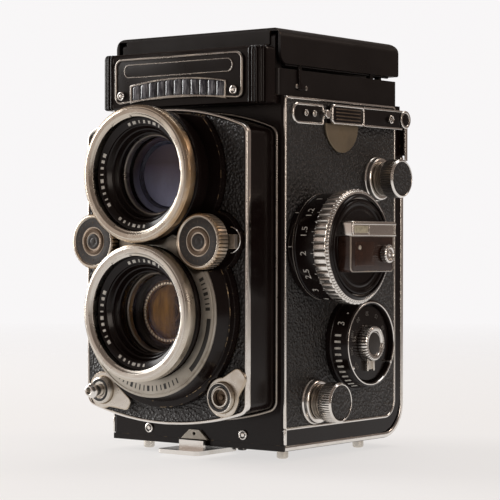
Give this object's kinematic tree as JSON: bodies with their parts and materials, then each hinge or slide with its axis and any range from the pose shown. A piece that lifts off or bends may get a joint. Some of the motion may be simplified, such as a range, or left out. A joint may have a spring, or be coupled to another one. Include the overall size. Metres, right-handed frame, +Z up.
{
  "type": "twin lens reflex camera",
  "caption": "Boxy twin lens reflex camera with stacked viewing and taking lenses, folding hood, side knobs, winding crank and hinged back.",
  "frame": {"origin": "centre of the tripod socket mouth, on the underside of the back door", "axes": "+X to the side with the focusing knob, -Y the way the lenses look, +Z up through the hood"},
  "size_m": [0.1109, 0.1074, 0.147],
  "materials": {
    "black_enamel": "gloss baked enamel over cast aluminium",
    "leatherette": "fine pebbled covering",
    "bright_chrome": "satin and polished chrome",
    "worn_chrome": "chrome worn to a warm brassy tone",
    "lens_glass": "coated optical glass",
    "window_glass": "clear window glass",
    "screen_glass": "ground glass",
    "mirror_glass": "front-silvered glass",
    "inner_black": "matt black anodised aluminium",
    "dark_steel": "brushed",
    "blade_steel": "thin blued steel",
    "spool_plastic": "moulded"
  },
  "bodies": {
    "body": {"body_casting": "black_enamel", "side_leathers": "leatherette", "case_beads": "bright_chrome", "inner_frame": "inner_black", "reflex_mirror": "mirror_glass", "focusing_screen": "screen_glass", "case_screws": "bright_chrome", "door_catch": "dark_steel", "name_housing": "black_enamel", "name_plate": "bright_chrome", "meter_window": "window_glass", "hood_base": "black_enamel", "strap_plates": "bright_chrome", "hinge_brackets": "worn_chrome", "side_collars": "bright_chrome", "focus_hub": "black_enamel", "meter_box": "dark_steel", "meter_glass": "window_glass", "dial_base": "black_enamel", "crank_plate": "bright_chrome"},
    "lens_standard": {"lens_board": "black_enamel", "board_leather": "leatherette", "board_bead": "bright_chrome", "viewing_barrel": "black_enamel", "viewing_rim": "worn_chrome", "viewing_lens": "lens_glass", "taking_barrel": "black_enamel", "taking_rim": "bright_chrome", "taking_lens": "lens_glass", "shutter_ring": "bright_chrome", "shutter_blades": "blade_steel", "release_collar": "bright_chrome", "flash_socket": "bright_chrome"},
    "aperture_wheel": {"aperture_wheel": "worn_chrome"},
    "speed_wheel": {"speed_wheel": "bright_chrome"},
    "timer_lever": {"timer_lever": "black_enamel"},
    "release_button": {"release_button": "worn_chrome"},
    "release_lock": {"release_lock": "bright_chrome"},
    "flash_lock": {"flash_lock": "bright_chrome"},
    "focus_knob": {"focus_scale": "black_enamel", "focus_ring": "worn_chrome"},
    "meter_knob": {"meter_knob": "worn_chrome"},
    "reminder_dial": {"reminder_dial": "bright_chrome"},
    "upper_spool_knob": {"upper_spool_knob": "bright_chrome"},
    "lower_spool_knob": {"lower_spool_knob": "bright_chrome"},
    "takeup_spool": {"takeup_spool": "spool_plastic"},
    "supply_spool": {"supply_spool": "spool_plastic"},
    "crank": {"crank_hub": "bright_chrome"},
    "crank_arm": {"crank_arm": "bright_chrome"},
    "hood_lid": {"hood_lid": "black_enamel"},
    "magnifier": {"magnifier_frame": "dark_steel", "magnifier_lens": "lens_glass"},
    "leaf_right": {"hood_leaf_right": "black_enamel"},
    "leaf_left": {"hood_leaf_left": "black_enamel"},
    "leaf_rear": {"hood_leaf_rear": "black_enamel"},
    "back_door": {"back_door": "black_enamel", "pressure_plate": "dark_steel", "tripod_socket": "bright_chrome", "feet": "bright_chrome"},
    "door_latch": {"door_latch": "bright_chrome"}
  },
  "joints": [
    {"name": "focus_turn", "type": "hinge", "parent": "body", "child": "focus_knob", "pos_m": [0.045, -0.01755, 0.0692], "axis": [1, 0, 0], "range_deg": [0, 300]},
    {"name": "focus_slide", "type": "slide", "parent": "body", "child": "lens_standard", "axis": [0, -1, 0], "range_m": [0, 0.006]},
    {"name": "aperture_turn", "type": "hinge", "parent": "lens_standard", "child": "aperture_wheel", "pos_m": [-0.0232, -0.06175, 0.0709], "axis": [0, -1, 0], "range_deg": [0, 130]},
    {"name": "speed_turn", "type": "hinge", "parent": "lens_standard", "child": "speed_wheel", "pos_m": [0.0232, -0.06175, 0.0709], "axis": [0, -1, 0], "range_deg": [0, 150]},
    {"name": "timer_swing", "type": "hinge", "parent": "lens_standard", "child": "timer_lever", "pos_m": [0.0232, -0.05835, 0.0709], "axis": [0, -1, 0], "range_deg": [-18, 18]},
    {"name": "release_press", "type": "slide", "parent": "lens_standard", "child": "release_button", "axis": [0, 1, 0], "range_m": [0, 0.0025], "stiffness_N_per_m": 300},
    {"name": "release_lock_turn", "type": "hinge", "parent": "lens_standard", "child": "release_lock", "pos_m": [-0.0267, -0.05475, 0.0191], "axis": [0, -1, 0], "range_deg": [-20, 0]},
    {"name": "flash_lock_turn", "type": "hinge", "parent": "lens_standard", "child": "flash_lock", "pos_m": [0.0263, -0.05475, 0.019], "axis": [0, -1, 0], "range_deg": [0, 15]},
    {"name": "meter_knob_turn", "type": "hinge", "parent": "body", "child": "meter_knob", "pos_m": [0.062, -0.01015, 0.0668], "axis": [1, 0, 0], "range_deg": [-120, 120]},
    {"name": "reminder_turn", "type": "hinge", "parent": "body", "child": "reminder_dial", "pos_m": [0.0445, 0.00355, 0.0353], "axis": [1, 0, 0], "range_deg": [-150, 150]},
    {"name": "upper_knob_pull", "type": "slide", "parent": "body", "child": "upper_spool_knob", "axis": [1, 0, 0], "range_m": [0, 0.007]},
    {"name": "lower_knob_pull", "type": "slide", "parent": "body", "child": "lower_spool_knob", "axis": [1, 0, 0], "range_m": [0, 0.007]},
    {"name": "crank_turn", "type": "hinge", "parent": "body", "child": "crank", "pos_m": [-0.041, -0.00075, 0.0804], "axis": [1, 0, 0], "range_deg": [-270, 0]},
    {"name": "takeup_turn", "type": "hinge", "parent": "body", "child": "takeup_spool", "pos_m": [0, 0.01825, 0.0934], "axis": [1, 0, 0], "range_deg": [0, 270]},
    {"name": "supply_turn", "type": "hinge", "parent": "body", "child": "supply_spool", "pos_m": [0, -0.01975, 0.0161], "axis": [1, 0, 0], "range_deg": [0, 216]},
    {"name": "crank_unfold", "type": "hinge", "parent": "crank", "child": "crank_arm", "pos_m": [-0.045, -0.00075, 0.0804], "axis": [0, 1, 0], "range_deg": [0, 180]},
    {"name": "hood_lid_open", "type": "hinge", "parent": "body", "child": "hood_lid", "pos_m": [0, -0.03455, 0.1398], "axis": [1, 0, 0], "range_deg": [0, 90]},
    {"name": "magnifier_swing", "type": "hinge", "parent": "hood_lid", "child": "magnifier", "pos_m": [0, 0.00025, 0.1398], "axis": [1, 0, 0], "range_deg": [-90, 0]},
    {"name": "leaf_right_open", "type": "hinge", "parent": "body", "child": "leaf_right", "pos_m": [0.0345, -0.00075, 0.1311], "axis": [0, 1, 0], "range_deg": [0, 90]},
    {"name": "leaf_left_open", "type": "hinge", "parent": "body", "child": "leaf_left", "pos_m": [-0.0345, -0.00075, 0.1311], "axis": [0, -1, 0], "range_deg": [0, 90]},
    {"name": "leaf_rear_open", "type": "hinge", "parent": "body", "child": "leaf_rear", "pos_m": [0, 0.03375, 0.1334], "axis": [-1, 0, 0], "range_deg": [0, 90]},
    {"name": "back_door_open", "type": "hinge", "parent": "body", "child": "back_door", "pos_m": [0, 0.03415, 0.1154], "axis": [1, 0, 0], "range_deg": [0, 110]},
    {"name": "door_latch_turn", "type": "hinge", "parent": "back_door", "child": "door_latch", "pos_m": [-0.0007, -0.02275, -0.0012], "axis": [1, 0, 0], "range_deg": [0, 75]}
  ],
  "couplings": [
    {"joint": "focus_turn", "follows": "focus_slide", "rad_per_m": 872.66},
    {"joint": "takeup_turn", "follows": "crank_turn", "ratio": -1},
    {"joint": "supply_turn", "follows": "crank_turn", "ratio": -0.8},
    {"joint": "magnifier_swing", "follows": "hood_lid_open", "ratio": -1},
    {"joint": "leaf_right_open", "follows": "hood_lid_open", "ratio": 1},
    {"joint": "leaf_left_open", "follows": "hood_lid_open", "ratio": 1},
    {"joint": "leaf_rear_open", "follows": "hood_lid_open", "ratio": 1}
  ]
}
